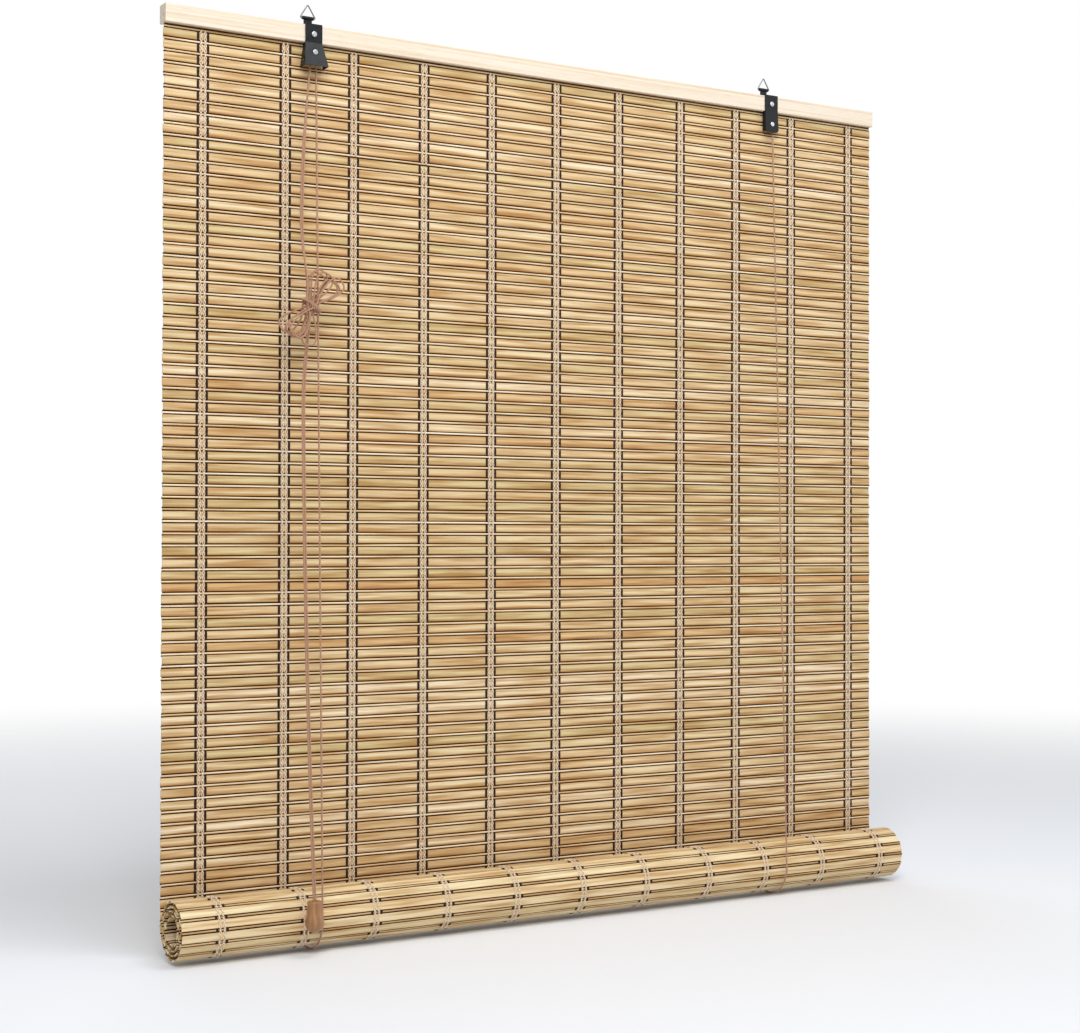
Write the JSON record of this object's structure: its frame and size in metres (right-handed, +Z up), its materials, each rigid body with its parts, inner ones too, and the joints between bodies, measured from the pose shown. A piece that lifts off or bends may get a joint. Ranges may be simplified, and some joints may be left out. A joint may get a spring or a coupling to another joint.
{
  "type": "bamboo roll up blind",
  "caption": "Bamboo roll up blind of flat slats and round sticks, half rolled on two cord slings, with a cord lock, a pulley, a hank of cord and a turned knob",
  "frame": {"origin": "midway between the two hooks that the blind hangs from, at the underside of the wire loops", "axes": "+X to the right seen from the front, -Y out of the front, +Z up"},
  "size_m": [1, 0.1032, 1.056],
  "materials": {
    "bamboo": "planed, satin, varied slat by slat",
    "pine": "planed, fine straight grain",
    "turned_wood": "turned, lacquered",
    "cream_string": "cotton string with two dark brown edge yarns",
    "tan_cord": "braided cord",
    "dark_steel": "dark satin paint",
    "wire_steel": "drawn wire",
    "nickel_steel": "nickel plated",
    "brass": "turned"
  },
  "bodies": {
    "headrail": {"headrail": "pine", "mat_nails": "wire_steel", "slat_mat": "bamboo", "string_column_01": "cream_string", "string_column_02": "cream_string", "string_column_03": "cream_string", "string_column_04": "cream_string", "string_column_05": "cream_string", "string_column_06": "cream_string", "string_column_07": "cream_string", "string_column_08": "cream_string", "string_column_09": "cream_string", "string_column_10": "cream_string", "string_column_11": "cream_string", "lock_bracket": "dark_steel", "pulley_bracket": "dark_steel", "bracket_screw_left": "nickel_steel", "bracket_screw_right": "nickel_steel", "lock_axle": "nickel_steel", "pulley_axle": "nickel_steel", "lock_cord": "tan_cord", "crossing_cord": "tan_cord", "lifting_cord_front_left": "tan_cord", "lifting_cord_front_right": "tan_cord", "lifting_cord_back_left": "tan_cord", "lifting_cord_back_right": "tan_cord"},
    "loop_left": {"hanging_loop_left": "wire_steel"},
    "loop_right": {"hanging_loop_right": "wire_steel"},
    "lock_pin": {"lock_pin": "brass"},
    "lock_wheel": {"lock_wheel": "brass"},
    "pulley_wheel": {"pulley_wheel": "brass"},
    "sling": {"lifting_cord_sling_left": "tan_cord", "lifting_cord_sling_right": "tan_cord"},
    "roll": {"slat_roll": "bamboo", "roll_string_01": "cream_string", "roll_string_02": "cream_string", "roll_string_03": "cream_string", "roll_string_04": "cream_string", "roll_string_05": "cream_string", "roll_string_06": "cream_string", "roll_string_07": "cream_string", "roll_string_08": "cream_string", "roll_string_09": "cream_string", "roll_string_10": "cream_string", "roll_string_11": "cream_string"},
    "pull_cord": {"pull_cord_upper_left": "tan_cord", "pull_cord_upper_right": "tan_cord", "pull_cord_lower_left": "tan_cord", "pull_cord_lower_right": "tan_cord", "cord_hank": "tan_cord", "pull_knob": "turned_wood"}
  },
  "joints": [
    {"name": "roll_lift", "type": "slide", "parent": "headrail", "child": "sling", "axis": [0, 0, 1], "range_m": [0, 0.8407], "deforming": ["slat_mat", "string_column_01", "string_column_02", "string_column_03", "string_column_04", "string_column_05", "string_column_06", "string_column_07", "string_column_08", "string_column_09", "string_column_10", "string_column_11", "lifting_cord_front_left", "lifting_cord_front_right", "lifting_cord_back_left", "lifting_cord_back_right"]},
    {"name": "roll_turn", "type": "hinge", "parent": "sling", "child": "roll", "pos_m": [0, -0.04245, -1.01775], "axis": [1, 0, 0], "range_deg": [-1441, 0]},
    {"name": "pull_cord_swing", "type": "hinge", "parent": "headrail", "child": "pull_cord", "pos_m": [-0.3559, -0.0905, -0.993], "axis": [1, 0, 0], "range_deg": [0, 6.8]},
    {"name": "lock_wheel_turn", "type": "hinge", "parent": "headrail", "child": "lock_wheel", "pos_m": [-0.326, -0.01485, -0.0574], "axis": [0, 1, 0], "continuous": true},
    {"name": "pulley_wheel_turn", "type": "hinge", "parent": "headrail", "child": "pulley_wheel", "pos_m": [0.326, -0.014, -0.0629], "axis": [0, 1, 0], "continuous": true},
    {"name": "lock_pin_slide", "type": "slide", "parent": "headrail", "child": "lock_pin", "axis": [0, -0.3, 0.9539], "range_m": [0, 0.0024]},
    {"name": "loop_left_swing", "type": "hinge", "parent": "headrail", "child": "loop_left", "pos_m": [-0.326, 0, -0.01445], "axis": [1, 0, 0], "range_deg": [-90, 90]},
    {"name": "loop_right_swing", "type": "hinge", "parent": "headrail", "child": "loop_right", "pos_m": [0.326, 0, -0.01445], "axis": [1, 0, 0], "range_deg": [-90, 90]}
  ],
  "couplings": [
    {"joint": "roll_turn", "follows": "roll_lift", "rad_per_m": -29.895},
    {"joint": "pull_cord_swing", "follows": "roll_lift", "rad_per_m": 0.14},
    {"joint": "lock_wheel_turn", "follows": "roll_lift", "rad_per_m": -487.81},
    {"joint": "pulley_wheel_turn", "follows": "roll_lift", "rad_per_m": -487.81}
  ]
}
